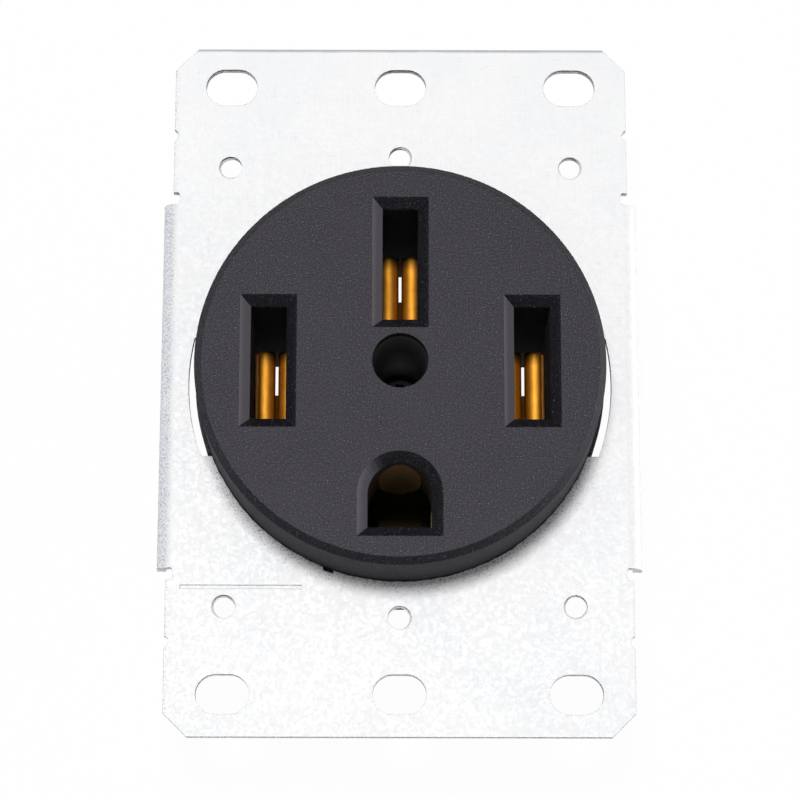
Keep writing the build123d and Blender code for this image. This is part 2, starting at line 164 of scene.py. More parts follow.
# zinc sheet of the strap; a pair of levels, sizes or shares holds the start and the end of a change
zincSheet = {
    "colour": (0.845, 0.85, 0.86, 1.0),
    "pale": (0.90, 0.90, 0.90, 1.0),
    "blue": (0.72, 0.74, 0.80, 1.0),
    "blueLevels": (0.45, 0.75),
    "blueShare": 0.30,
    "crystalSize": 0.42 * mm,
    "cloudSize": 16 * mm,
    "roughness": (0.46, 0.62),
    "roughLevels": (0.25, 0.75),
    "metal": 0.08,
    "specular": 0.22,
    # rolling marks
    "alongSize": 0.22 * mm,
    "alongStretch": (1.0, 0.04, 1.0),
    "acrossSize": 0.30 * mm,
    "acrossStretch": (0.05, 1.0, 1.0),
    "alongShare": 0.55,
    "acrossShare": 0.45,
    "markLevels": (0.56, 0.70),
    "markShare": 0.16,
    "scratchDepth": 0.004 * mm,
    # specks, and the areas where more and darker specks are painted as shade
    "speck": (0.34, 0.35, 0.44, 1.0),
    "speckSize": 0.21 * mm,
    "speckLevel": 0.62,
    "speckLevelShaded": 0.485,
    "speckFade": 0.10,
    "speckShare": 0.34,
    "speckShareShaded": 0.84,
    "grainDepth": 0.006 * mm,
    "wingStart": 29.6 * mm,
    "wingHalf": 25.0 * mm,
    "wingFade": (0.3 * mm, 1.2 * mm),
    "wingShade": 0.93,
    "footShadowSpeck": (0.05, 0.05, 0.065, 1.0),
    "footRadius": 26.7 * mm,
    "footReach": (4.6 * mm, 0.8 * mm),
    "footSide": -14 * mm,
    "raggedSize": 1.1 * mm,
    "raggedDepth": 2.4 * mm,
    # painted shade along the edges, on the top edge's roll-over and on the sheared walls
    "edge": 0.13 * mm,
    "edgeShadeLine": (0.30, 0.30, 0.32, 1.0),
    "edgeShare": 0.45,
    "topEdge": 47.2 * mm,
    "rollOverShade": (0.27, 0.28, 0.34, 1.0),
    "rollWidth": (0.62 * mm, 0.30 * mm),
    "rollSize": 0.5 * mm,
    "rollStretch": (0.12, 1.0, 1.0),
    "rollUneven": 0.30 * mm,
    "rollShare": 0.70,
    "steep": (0.55, 0.45),
    "cutPale": (0.90, 0.90, 0.92, 1.0),
    "cutShade": (0.07, 0.07, 0.075, 1.0),
    "cutLevels": (0.85 * mm, 1.20 * mm),
    "tearSize": 0.18 * mm,
    "tearStretch": (1.0, 1.0, 0.15),
    "tearDepth": 0.45 * mm,
    "tearLevels": (0.55, 0.70),
    "tearShare": 0.7,
}


def zincPaintedShade(tree, place, spot, look):
    # painted shade on the left wing, and a painted shadow on the sheet below the face's foot: both get a
    # duller and darker grain
    leftward = calc(tree, "MULTIPLY", spot["X"], -1.0)
    fadeStart, fadeEnd = look["wingFade"]
    wing = remap(tree, leftward, look["wingStart"] + fadeStart, look["wingStart"] + fadeEnd,
                 0.0, look["wingShade"])
    ragged = times(tree, noise(tree, place, look["raggedSize"], 3.0, 0.6), look["raggedDepth"])
    far, near = look["footReach"]
    foot = remap(tree, calc(tree, "ADD", offAxis(tree, spot), ragged),
                 look["footRadius"] + far, look["footRadius"] + near)
    foot = times(tree, foot, remap(tree, spot["Y"], 0.0, look["footSide"]))
    return calc(tree, "MAXIMUM", wing, foot), foot


def zincWalls(tree, place, spot, look):
    # sheared walls: painted shade, dark next to the front and paler towards the back, with dark streaks;
    # the fold's own ends stay as the flats
    facing = facingOf(tree)
    steep = remap(tree, calc(tree, "ABSOLUTE", facing["Z"]), *look["steep"])
    sideways = remap(tree, calc(tree, "ABSOLUTE", facing["Y"]), *look["steep"])
    far = remap(tree, calc(tree, "ABSOLUTE", spot["X"]), look["wingStart"], look["wingStart"] + softStep)
    offMiddle = calc(tree, "ABSOLUTE", spot["Y"])
    near = remap(tree, offMiddle, look["wingHalf"] + softStep / 2, look["wingHalf"])
    folded = times(tree, sideways, far, near)
    cut = times(tree, steep, calc(tree, "SUBTRACT", 1.0, folded))
    torn = noise(tree, stretched(tree, place, look["tearStretch"]), look["tearSize"], 3.0, 0.7)
    level = calc(tree, "ADD", spot["Z"], times(tree, torn, look["tearDepth"]))
    wall = blend(tree, remap(tree, level, *look["cutLevels"]), look["cutPale"], look["cutShade"])
    tears = remap(tree, torn, *look["tearLevels"], 0.0, look["tearShare"])
    wall = blend(tree, tears, wall, look["cutShade"])
    return cut, wall


def makeZinc(name, look):
    material, tree, shader = newMaterial(name)
    place = objectPlace(tree)
    spot = splitPlace(tree, place)
    # fine spangle over faint clouds
    cells = put(tree, "ShaderNodeTexVoronoi", {
        "Vector": place, "Scale": 1.0 / look["crystalSize"], "Randomness": 1.0,
    }, feature="F1").outputs["Color"]
    crystal = put(tree, "ShaderNodeSeparateColor", {"Color": cells}).outputs["Red"]
    cloud = noise(tree, place, look["cloudSize"], 4.0, 0.6)
    colour = blend(tree, crystal, look["colour"], look["pale"])
    clouded = remap(tree, cloud, *look["blueLevels"], 0.0, look["blueShare"])
    colour = blend(tree, clouded, colour, look["blue"])
    # rolling marks along the sheet and fainter ones across it
    along = noise(tree, stretched(tree, place, look["alongStretch"]), look["alongSize"], 2.0, 0.7)
    across = noise(tree, stretched(tree, place, look["acrossStretch"]), look["acrossSize"], 2.0, 0.7)
    marks = calc(tree, "ADD", times(tree, along, look["alongShare"]),
                 times(tree, across, look["acrossShare"]))
    marked = remap(tree, marks, *look["markLevels"], 0.0, look["markShare"])
    colour = blend(tree, marked, colour, look["speck"])
    # specks, far more of them where shade and shadow are painted
    dull, foot = zincPaintedShade(tree, place, spot, look)
    fine = noise(tree, place, look["speckSize"], 3.0, 0.75)
    low = remap(tree, dull, 0.0, 1.0, look["speckLevel"], look["speckLevelShaded"])
    specks = times(tree, remap(tree, calc(tree, "SUBTRACT", fine, low), 0.0, look["speckFade"]),
                   remap(tree, dull, 0.0, 1.0, look["speckShare"], look["speckShareShaded"]))
    # under the face's foot the specks are darker still: a painted shadow
    colour = blend(tree, specks, colour, blend(tree, foot, look["speck"], look["footShadowSpeck"]))
    # painted shade: a thin line along the edges, and a band on the shear's roll-over along the top
    line = edgeMask(tree, look["edge"])
    colour = blend(tree, times(tree, line, look["edgeShare"]), colour, look["edgeShadeLine"])
    uneven = noise(tree, stretched(tree, place, look["rollStretch"]), look["rollSize"], 3.0, 0.7)
    height = calc(tree, "SUBTRACT", spot["Y"], times(tree, uneven, look["rollUneven"]))
    rolled = remap(tree, height, *(look["topEdge"] - width for width in look["rollWidth"]))
    colour = blend(tree, times(tree, rolled, look["rollShare"]), colour, look["rollOverShade"])
    cut, wall = zincWalls(tree, place, spot, look)
    colour = blend(tree, cut, colour, wall)
    uneven = calc(tree, "ADD", times(tree, crystal, 0.5), times(tree, fine, 0.5))
    roughness = remap(tree, uneven, *look["roughLevels"], *look["roughness"])
    bumps = bump(tree, marks, look["scratchDepth"], roundedEdges(tree, look["edge"]))
    bumps = bump(tree, fine, look["grainDepth"], bumps)
    tree.links.new(colour, shader.inputs["Base Color"])
    tree.links.new(roughness, shader.inputs["Roughness"])
    tree.links.new(bumps, shader.inputs["Normal"])
    shader.inputs["Metallic"].default_value = look["metal"]
    shader.inputs["Specular IOR Level"].default_value = look["specular"]
    return material


# moulded plastics of face and body
facePlastic = {
    "dark": (0.0015, 0.0012, 0.0017, 1.0),
    "pale": (0.0165, 0.0150, 0.0190, 1.0),
    "grain": 0.20 * mm,
    "grainLevels": (0.40, 0.62),
    "grainDepth": 0.070 * mm,
    "cloudSize": 7 * mm,
    "cloudLevels": (0.3, 0.7),
    "unevenness": 0.015,
    "roughness": (0.48, 0.52),
    "wallFacing": (0.5, 0.3),
    "wallRoughness": 0.75,
    "specular": 0.29,
    "tint": (0.90, 0.87, 1.0, 1.0),
    # flecks are strongest on what faces the front
    "fleck": (0.060, 0.057, 0.068, 1.0),
    "fleckLevels": (0.52, 0.70),
    "frontFacing": (0.80, 0.95),
    "sideFlecks": 0.25,
    # pale dust, and pale grains painted along the edges as a highlight
    "dust": (0.26, 0.25, 0.25, 1.0),
    "dustSize": 0.20 * mm,
    "dustLevel": 0.735,
    "dustFade": 0.03,
    "dustShare": 0.7,
    "edge": 0.16 * mm,
    "edgeGrains": (0.50, 0.66),
    "edgeShare": 0.26,
    # the openings, with painted shade in the hollows behind them and a painted glow in the ground shaft's
    "chamferLight": (0.105, 0.098, 0.112, 1.0),
    "chamferShare": 1.0,
    "chamferSide": (0.35, 0.60),
    "chamferFront": (0.5, 0.6),
    "inside": (0.0022, 0.0021, 0.0020, 1.0),
    "insideTop": 11.75 * mm,
    "insideReach": 25.5 * mm,
    "insideRoughness": 0.95,
    "groundGlow": (0.070, 0.055, 0.028, 1.0),
    "groundHalf": 6.4 * mm,
    "groundTop": -8.8 * mm,
    # the centre hole, painted paler as light, and a soft highlight painted on its upper wall
    "centreHole": 3.9 * mm,
    "hole": (0.150, 0.153, 0.150, 1.0),
    "holeHighlight": (0.62, 0.65, 0.65, 1.0),
    "highlightLevel": -3.5 * mm,
    "highlightReach": 8 * mm,
    "highlightWidth": (2.6 * mm, 0.2 * mm),
}
bodyPlastic = dict(
    facePlastic,
    pale=(0.020, 0.0195, 0.0205, 1.0),
    roughness=(0.40, 0.50),
    dustLevel=0.75,
    edge=0.25 * mm,
    chamferShare=0.0,
    inside=(0.010, 0.010, 0.008, 1.0),
    insideTop=3 * mm,
    insideReach=24.5 * mm,
    insideFloor=-23.3 * mm,
    groundGlow=(0.22, 0.21, 0.15, 1.0),
)


def paintHollows(tree, spot, radius, colour, look):
    # painted shade: the hollows behind the openings are dull and darker; painted glow: the ground shaft's
    # is browner
    under = remap(tree, spot["Z"], look["insideTop"], look["insideTop"] - softStep)
    within = remap(tree, radius, look["insideReach"], look["insideReach"] - softStep)
    around = remap(tree, radius, look["centreHole"], look["centreHole"] + softStep)
    inside = times(tree, within, under, around)
    if "insideFloor" in look:
        above = remap(tree, spot["Z"], look["insideFloor"], look["insideFloor"] + 2 * softStep)
        inside = times(tree, inside, above)
    colour = blend(tree, inside, colour, look["inside"])
    offMiddle = calc(tree, "ABSOLUTE", spot["X"])
    groundX = remap(tree, offMiddle, look["groundHalf"] + 2 * softStep, look["groundHalf"])
    groundY = remap(tree, spot["Y"], look["groundTop"], look["groundTop"] - 2 * softStep)
    colour = blend(tree, times(tree, inside, groundX, groundY), colour, look["groundGlow"])
    # the centre hole is painted paler as light, most of all on the painted highlight
    hole = remap(tree, radius, look["centreHole"] - softStep, look["centreHole"] - 2 * softStep)
    hole = times(tree, hole, under)
    colour = blend(tree, hole, colour, look["hole"])
    offLevel = calc(tree, "ABSOLUTE", calc(tree, "SUBTRACT", spot["Z"], look["highlightLevel"]))
    patch = times(tree, remap(tree, offLevel, look["highlightReach"], 0.0),
                  remap(tree, offMiddle, *look["highlightWidth"]))
    return blend(tree, times(tree, hole, patch), colour, look["holeHighlight"]), inside


def makePlastic(name, look):
    material, tree, shader = newMaterial(name)
    place = objectPlace(tree)
    spot = splitPlace(tree, place)
    facing = facingOf(tree)
    radius = offAxis(tree, spot)
    # moulded grain, a little uneven from place to place
    fine = noise(tree, place, look["grain"], 1.5, 0.6)
    cloud = noise(tree, place, look["cloudSize"], 3.0, 0.5)
    uneven = remap(tree, cloud, *look["cloudLevels"], -look["unevenness"], look["unevenness"])
    grain = calc(tree, "ADD", fine, uneven)
    colour = blend(tree, remap(tree, grain, *look["grainLevels"]), look["dark"], look["pale"])
    front = remap(tree, facing["Z"], *look["frontFacing"], look["sideFlecks"], 1.0)
    flecks = times(tree, remap(tree, grain, *look["fleckLevels"]), front)
    colour = blend(tree, flecks, colour, look["fleck"])
    # single specks of pale dust
    grit = noise(tree, place, look["dustSize"], 1.0, 0.5)
    dusty = remap(tree, grit, look["dustLevel"], look["dustLevel"] + look["dustFade"],
                  0.0, look["dustShare"])
    colour = blend(tree, dusty, colour, look["dust"])
    # painted highlight: pale grains along the edges
    edgeHighlight = times(tree, edgeMask(tree, look["edge"]), remap(tree, fine, *look["edgeGrains"]))
    colour = blend(tree, times(tree, edgeHighlight, look["edgeShare"]), colour, look["dust"])
    # painted light: the openings' chamfers that face +X are painted paler
    sloping = times(tree, remap(tree, facing["X"], *look["chamferSide"]),
                    remap(tree, facing["Z"], *look["chamferFront"]),
                    remap(tree, radius, look["insideReach"], look["insideReach"] - softStep))
    colour = blend(tree, times(tree, sloping, look["chamferShare"]), colour, look["chamferLight"])
    colour, inside = paintHollows(tree, spot, radius, colour, look)
    # hollows and upright walls are duller than the front
    slope = calc(tree, "ABSOLUTE", facing["Z"])
    upright = remap(tree, slope, *look["wallFacing"], 0.0, look["wallRoughness"])
    roughness = remap(tree, cloud, *look["cloudLevels"], *look["roughness"])
    roughness = calc(tree, "MAXIMUM", roughness, times(tree, inside, look["insideRoughness"]))
    roughness = calc(tree, "MAXIMUM", roughness, upright)
    normal = bump(tree, fine, look["grainDepth"], roundedEdges(tree, look["edge"]))
    tree.links.new(colour, shader.inputs["Base Color"])
    tree.links.new(roughness, shader.inputs["Roughness"])
    tree.links.new(normal, shader.inputs["Normal"])
    shader.inputs["Specular IOR Level"].default_value = look["specular"]
    shader.inputs["Specular Tint"].default_value = look["tint"]
    return material


# metals of jaws, clips, lugs and screws; each adds its own values to anyMetal's
anyMetal = {
    "metal": 1.0,
    "specular": 0.5,
    "streakSize": 0.18 * mm,
    "streakLevels": (0.3, 0.7),
    "streakDepth": 0.0025 * mm,
    "cloudSize": 2.2 * mm,
    "cloudLevels": (0.38, 0.66),
    "dullShare": 0.5,
    "pitSize": 0.32 * mm,
    "pitLevels": (0.69, 0.74),
    "pitShare": 0.85,
    "edge": 0.12 * mm,
}
brassStrip = dict(
    anyMetal,
    colour=(0.76, 0.355, 0.042, 1.0),
    dull=(0.50, 0.20, 0.020, 1.0),
    pit=(0.05, 0.02, 0.005, 1.0),
    roughness=(0.54, 0.66),
    flankShade=(0.28, 0.105, 0.010, 1.0),
    endShade=(0.02, 0.010, 0.003, 1.0),
)
jawShade = {
    "flankTilt": (0.92, 0.35),
    "lineStart": (9 * mm, 9.5 * mm),
    "lineEnd": 5.35 * mm,
    "neutralEnd": 18.65 * mm,
    "endFade": (1.9 * mm, 0.15 * mm),
    "deep": (-3.9 * mm, -6.5 * mm),
    "deepShare": 0.90,
    "outer": (18.5 * mm, 18.9 * mm),
    "outerShare": 0.85,
}
groundBrass = {
    "tongue": (0.80, 0.47, 0.25, 1.0),
    "ledgeShade": (0.014, 0.0095, 0.005, 1.0),
    "startY": -9 * mm,
    "ledgeY": -15 * mm,
    "reachX": 8 * mm,
    "fade": 0.5 * mm,
    "roughness": 0.6,
}
# the lugs' brass is painted nearly black as shade
lugBrass = dict(
    anyMetal,
    colour=(0.075, 0.044, 0.018, 1.0),
    dull=(0.05, 0.03, 0.012, 1.0),
    pit=(0.02, 0.012, 0.005, 1.0),
    roughness=(0.82, 0.95),
    metal=0.1,
    specular=0.2,
)
screwSteel = dict(
    anyMetal,
    colour=(0.56, 0.56, 0.58, 1.0),
    dull=(0.34, 0.34, 0.36, 1.0),
    pit=(0.10, 0.10, 0.10, 1.0),
    roughness=(0.26, 0.44),
    innerEndShade=(0.035, 0.025, 0.014, 1.0),
    innerEndOuter=(23.2 * mm, 22.8 * mm),
    innerEndInner=(6 * mm, 7 * mm),
)
springSteel = dict(
    anyMetal,
    colour=(0.016, 0.015, 0.014, 1.0),
    dull=(0.011, 0.010, 0.009, 1.0),
    pit=(0.004, 0.004, 0.004, 1.0),
    roughness=(0.50, 0.62),
    metal=0.3,
    specular=0.2,
)
blackSteel = dict(
    anyMetal,
    colour=(0.006, 0.006, 0.006, 1.0),
    dull=(0.004, 0.004, 0.004, 1.0),
    pit=(0.010, 0.009, 0.008, 1.0),
    roughness=(0.42, 0.56),
    metal=0.0,
    specular=0.15,
)


def shadeJaws(tree, place, look, colour, roughness):
    # painted shade: browner down the flanks and on the outer leaf, nearly black deep down and at the
    # sheared ends
    spot = splitPlace(tree, place)
    facing = facingOf(tree, "Normal")
    colour = blend(tree, remap(tree, facing["Z"], *jawShade["flankTilt"]), colour, look["flankShade"])
    offMiddle = calc(tree, "ABSOLUTE", spot["X"])
    isLine = remap(tree, offMiddle, *jawShade["lineStart"])
    end = remap(tree, isLine, 0.0, 1.0, jawShade["neutralEnd"], jawShade["lineEnd"])
    toEnd = calc(tree, "SUBTRACT", end, spot["Y"])
    colour = blend(tree, remap(tree, toEnd, *jawShade["endFade"]), colour, look["endShade"])
    deep = remap(tree, spot["Z"], *jawShade["deep"], 0.0, jawShade["deepShare"])
    colour = blend(tree, deep, colour, look["endShade"])
    outer = remap(tree, offMiddle, *jawShade["outer"], 0.0, jawShade["outerShare"])
    colour = blend(tree, outer, colour, look["flankShade"])
    # the ground jaw's brass is painted paler as light and made rougher, and its ledge is painted nearly
    # black as shade
    startY, reachX, fade = groundBrass["startY"], groundBrass["reachX"], groundBrass["fade"]
    ground = times(tree, remap(tree, spot["Y"], startY, startY - fade),
                   remap(tree, offMiddle, reachX, reachX - fade))
    ledgeShade = remap(tree, spot["Y"], groundBrass["ledgeY"], groundBrass["ledgeY"] - softStep)
    colour = blend(tree, ground, colour, blend(tree, ledgeShade, groundBrass["tongue"], groundBrass["ledgeShade"]))
    return colour, calc(tree, "MAXIMUM", roughness, times(tree, ground, groundBrass["roughness"]))


def innerEnd(tree, place, look):
    # 1 on the set screws' ends inside the body, 0 on their heads and on the middle nut
    radius = offAxis(tree, splitPlace(tree, place))
    return times(tree, remap(tree, radius, *look["innerEndOuter"]), remap(tree, radius, *look["innerEndInner"]))


def makeMetal(name, look, streak=(1.0, 0.06, 1.0)):
    material, tree, shader = newMaterial(name)
    place = objectPlace(tree)
    streaks = noise(tree, stretched(tree, place, streak), look["streakSize"], 3.0, 0.6)
    cloud = noise(tree, place, look["cloudSize"], 4.0, 0.6)
    clouded = remap(tree, cloud, *look["cloudLevels"], 0.0, look["dullShare"])
    colour = blend(tree, clouded, look["colour"], look["dull"])
    pits = noise(tree, place, look["pitSize"], 2.0, 0.6)
    colour = blend(tree, remap(tree, pits, *look["pitLevels"], 0.0, look["pitShare"]), colour, look["pit"])
    roughness = remap(tree, streaks, *look["streakLevels"], *look["roughness"])
    shader.inputs["Metallic"].default_value = look["metal"]
    # the set screws' inner ends are painted dark as shade, and made rougher and not metallic
    if "innerEndShade" in look:
        shadedEnd = innerEnd(tree, place, look)
        colour = blend(tree, shadedEnd, colour, look["innerEndShade"])
        roughness = calc(tree, "MAXIMUM", roughness, shadedEnd)
        tree.links.new(calc(tree, "SUBTRACT", 1.0, shadedEnd), shader.inputs["Metallic"])
    if "flankShade" in look:
        colour, roughness = shadeJaws(tree, place, look, colour, roughness)
    normal = bump(tree, streaks, look["streakDepth"], roundedEdges(tree, look["edge"]))
    tree.links.new(colour, shader.inputs["Base Color"])
    tree.links.new(roughness, shader.inputs["Roughness"])
    tree.links.new(normal, shader.inputs["Normal"])
    shader.inputs["Specular IOR Level"].default_value = look["specular"]
    return material


finishes = {
    "zinc_sheet": makeZinc("zinc_sheet", zincSheet),
    "face_plastic": makePlastic("face_plastic", facePlastic),
    "body_plastic": makePlastic("body_plastic", bodyPlastic),
    "contact_brass": makeMetal("contact_brass", brassStrip),
    "lug_brass": makeMetal("lug_brass", lugBrass, (1.0, 1.0, 0.06)),
    "screw_steel": makeMetal("screw_steel", screwSteel),
    "spring_steel": makeMetal("spring_steel", springSteel),
    "black_steel": makeMetal("black_steel", blackSteel, (1.0, 1.0, 0.2)),
}
for subpart in frame["record"]["subparts"]:
    piece = nodes[subpart["node"]]
    piece.data.materials.clear()
    piece.data.materials.append(finishes[subpart["material_slot"]])
print("finishes given to", len(nodes), "pieces")


# pieces too fine for the CAD model
def sweep(name, rings, material, closed=False):
    # one tube through rings of points, either closed on itself or capped at its ends
    shape = bmesh.new()
    rows = [[shape.verts.new(point) for point in ring] for ring in rings]
    count = len(rows[0])
    for here, after in zip(rows, rows[1:] + (rows[:1] if closed else [])):
        for i in range(count):
            j = (i + 1) % count
            shape.faces.new((here[i], here[j], after[j], after[i]))
    if not closed:
        shape.faces.new(list(reversed(rows[0])))
        shape.faces.new(rows[-1])
    bmesh.ops.recalc_face_normals(shape, faces=shape.faces)
    mesh = bpy.data.meshes.new(name)
    shape.to_mesh(mesh)
    shape.free()
    mesh.materials.append(material)
    piece = bpy.data.objects.new(name, mesh)
    bpy.context.scene.collection.objects.link(piece)
    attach(piece, "root")
    return piece


plateThread = {
    # the thread's sheared walls get a paler painted shade than the strap's
    "cutShade": (0.55, 0.55, 0.57, 1.0),
    "pitch": 0.794 * mm,
    "holeRadius": 1.55 * mm,
    "height": 0.21 * mm,
    "halfWidth": 0.27 * mm,
    "crestHalf": 0.05 * mm,
    "bedding": 0.03 * mm,
    "low": 0.30 * mm,
    "high": 0.90 * mm,
    "endHeight": 0.06,
    "endWidth": 0.35,
    "endShare": 1 / 6,
    "startTurn": 0.9,
    "steps": 44,
    "plateX": 23.02 * mm,
    "plateY": 30.16 * mm,
    "middleY": 31.6 * mm,
}


def makePlateThreads():
    # one ridge of the tapped thread in each cover plate hole
    look = plateThread
    finish = makeZinc("thread_zinc", dict(zincSheet, cutShade=look["cutShade"]))
    turns = (look["high"] - look["low"]) / look["pitch"]
    holes = [(x * look["plateX"], y * look["plateY"]) for x in (-1, 1) for y in (-1, 1)]
    holes += [(0.0, look["middleY"]), (0.0, -look["middleY"])]
    for index, (x, y) in enumerate(holes):
        rings = []
        for step in range(look["steps"] + 1):
            share = step / look["steps"]
            angle = 2 * math.pi * turns * share + look["startTurn"] * index
            level = look["low"] + share * (look["high"] - look["low"])
            # the ridge runs out at both ends
            grown = min(1.0, share / look["endShare"], (1 - share) / look["endShare"])
            grown = look["endHeight"] + (1 - look["endHeight"]) * grown
            half = look["halfWidth"] * (look["endWidth"] + (1 - look["endWidth"]) * grown)
            outer = look["holeRadius"] + look["bedding"]
            crest = look["holeRadius"] - look["height"] * grown
            profile = ((outer, level - half), (crest, level - look["crestHalf"]),
                       (crest, level + look["crestHalf"]), (outer, level + half))
            rings.append([(x + r * math.cos(angle), y + r * math.sin(angle), z) for r, z in profile])
        sweep(f"plate_thread_{index + 1}", rings, finish)


outerLeaf = dict(
    anyMetal,
    # millimetres, in the leaf's section: X outwards and Z up
    path=[(19.44, -6.1), (19.43, -5.2), (19.42, -4.3), (19.40, -3.7),
          (19.34, -3.3), (19.20, -3.02), (18.95, -2.90)],
    thickness=0.24 * mm,
    half=5.05 * mm,
    droop=0.10 * mm,
    wave=0.02 * mm,
    waves=9,
    steps=30,
    colour=(0.42, 0.17, 0.035, 1.0),
    dull=(0.24, 0.09, 0.018, 1.0),
    # the pale specks are painted glints
    pit=(0.95, 0.80, 0.55, 1.0),
    roughness=(0.50, 0.70),
    metal=0.15,
)


def makeOuterLeaves():
    # thin leaf between the outer roll of each line jaw and the shaft's wall, its brass painted brown as
    # shade
    look = outerLeaf
    finish = makeMetal("shaded_leaf", look)
    path = [Vector((x * mm, 0.0, z * mm)) for x, z in look["path"]]
    sides = []
    for i, point in enumerate(path):
        run = path[min(i + 1, len(path) - 1)] - path[max(i - 1, 0)]
        sides.append(Vector((run.z, 0.0, -run.x)).normalized() * look["thickness"] / 2)
    loop = [point + side for point, side in zip(path, sides)]
    loop += [point - side for point, side in reversed(list(zip(path, sides)))]
    for name, way in (("line_x_leaf", -1), ("line_y_leaf", 1)):
        rings = []
        for step in range(look["steps"] + 1):
            share = step / look["steps"]
            y = (2 * share - 1) * look["half"]
            drop = look["droop"] * abs(2 * share - 1) ** 6
            drop += look["wave"] * math.sin(look["waves"] * share + way)
            rings.append([(way * point.x, y, point.z - drop) for point in loop])
        sweep(name, rings, finish)


groundTongue = dict(
    anyMetal,
    # millimetres
    top=11.3,
    bottom=-3.3,
    halfTop=2.7,
    halfBottom=2.75,
    corner=8.0,
    endWidth=0.25,
    wall=-13.36,
    thickness=0.26,
    bedding=0.15,
    backBedding=0.25,
    growth=1.6,
    belly=0.10,
    lip=0.40,
    arch=4.3,
    columns=24,
    rows=26,
    colour=(0.48, 0.300, 0.130, 1.0),
    dull=(0.31, 0.190, 0.080, 1.0),
    pit=(0.08, 0.05, 0.025, 1.0),
    roughness=(0.50, 0.64),
    metal=0.15,
)


def makeGroundTongue():
    # tarnished tongue on the ground shaft's upper wall, round at its lower end
    look = groundTongue
    finish = makeMetal("tarnished_tongue", look)

    def sag(x):
        # the tongue is cupped like the arched wall behind it
        return look["arch"] - math.sqrt(look["arch"] ** 2 - x ** 2)

    rings = []
    for row in range(look["rows"] + 1):
        share = row / look["rows"]
        z = look["top"] + share * (look["bottom"] - look["top"])
        half = look["halfTop"] + share * (look["halfBottom"] - look["halfTop"])
        left = (z - look["bottom"]) / look["corner"]
        if left < 1.0:
            half *= max(look["endWidth"], math.sqrt(max(0.0, 1.0 - (1.0 - left) ** 2)))
        lean = look["lip"] * share ** 5
        # it grows out of the wall from its top edge
        proud = min(1.0, look["growth"] * share) * (look["thickness"] + look["bedding"]) - look["bedding"]
        across = [2 * column / look["columns"] - 1 for column in range(look["columns"] + 1)]
        ring = []
        for x in across:
            y = look["wall"] - proud - lean - look["belly"] * (1 - x ** 2) - sag(x * half)
            ring.append((x * half * mm, y * mm, z * mm))
        for x in reversed(across):
            y = look["wall"] + look["backBedding"] - lean - sag(x * half)
            ring.append((x * half * mm, y * mm, z * mm))
        rings.append(ring)
    sweep("ground_tongue", rings, finish)


partingBead = {
    # millimetres
    "halfWidth": 25.2,
    "halfLength": 26.4,
    "corner": 12.0,
    "level": -9.5,
    "proud": 0.13,
    "profile": ((-0.05, -1.2), (0.55, -0.8), (1.0, 0.0), (0.55, 0.8), (-0.05, 1.2)),  # times its height
    "steps": 18,
}


def makePartingBead():
    # the line that the mould's two halves left round the body
    look = partingBead
    rings = []
    for quarter, (signX, signY) in enumerate(((1, 1), (-1, 1), (-1, -1), (1, -1))):
        middleX = signX * (look["halfWidth"] - look["corner"])
        middleY = signY * (look["halfLength"] - look["corner"])
        for step in range(look["steps"] + 1):
            angle = math.pi / 2 * (quarter + step / look["steps"])
            ring = []
            for out, up in look["profile"]:
                reach = look["corner"] + out * look["proud"]
                x = middleX + reach * math.cos(angle)
                y = middleY + reach * math.sin(angle)
                ring.append((x * mm, y * mm, (look["level"] + up * look["proud"]) * mm))
            rings.append(ring)
    sweep("parting_bead", rings, finishes["body_plastic"], closed=True)


footFlash = {
    # millimetres
    "inner": 26.2,
    "outer": 26.74,
    "ragged": 0.16,
    "low": 1.22,
    "high": 1.33,
    "bevelWidth": 0.05,
    "bevelHeight": 0.04,
    "waves": (5, 9, 14, 23, 37, 61, 90),  # ripples in one turn
    "steps": 480,
    "seed": 7,
}


def makeFootFlash():
    # thin ragged edge where the moulding squeezed out at the face's foot
    look = footFlash
    # the flash's plastic is painted darker, as shade at the face's foot
    darker = dict(facePlastic, pale=facePlastic["dark"], fleck=facePlastic["pale"])
    finish = makePlastic("flash_shaded_plastic", darker)
    draw = random.Random(look["seed"])
    waves = [(count, draw.uniform(0, 2 * math.pi), draw.uniform(0.3, 1.0)) for count in look["waves"]]
    rings = []
    for step in range(look["steps"]):
        angle = 2 * math.pi * step / look["steps"]
        ripple = sum(share * math.sin(count * angle + start) for count, start, share in waves) / len(waves)
        edge = look["outer"] + look["ragged"] * (0.5 + ripple)
        profile = ((look["inner"], look["low"]), (edge, look["low"]),
                   (edge, look["high"] - look["bevelHeight"]),
                   (edge - look["bevelWidth"], look["high"]), (look["inner"], look["high"]))
        rings.append([(r * math.cos(angle) * mm, r * math.sin(angle) * mm, z * mm) for r, z in profile])
    sweep("foot_flash", rings, finish, closed=True)


groundEdge = dict(
    anyMetal,
    # millimetres
    inner=4.13,
    outer=4.36,
    top=2.0,
    bottom=-1.2,
    start=-17.5,
    end=-20.4,
    bevel=0.05,
    bevelInner=0.04,
    bevelOuter=0.03,
    droop=0.5,
    wave=0.05,
    waves=17,
    steps=24,
    colour=(0.62, 0.50, 0.27, 1.0),
    dull=(0.10, 0.07, 0.03, 1.0),
    pit=(0.02, 0.014, 0.006, 1.0),
    roughness=(0.40, 0.60),
    metal=0.2,
)


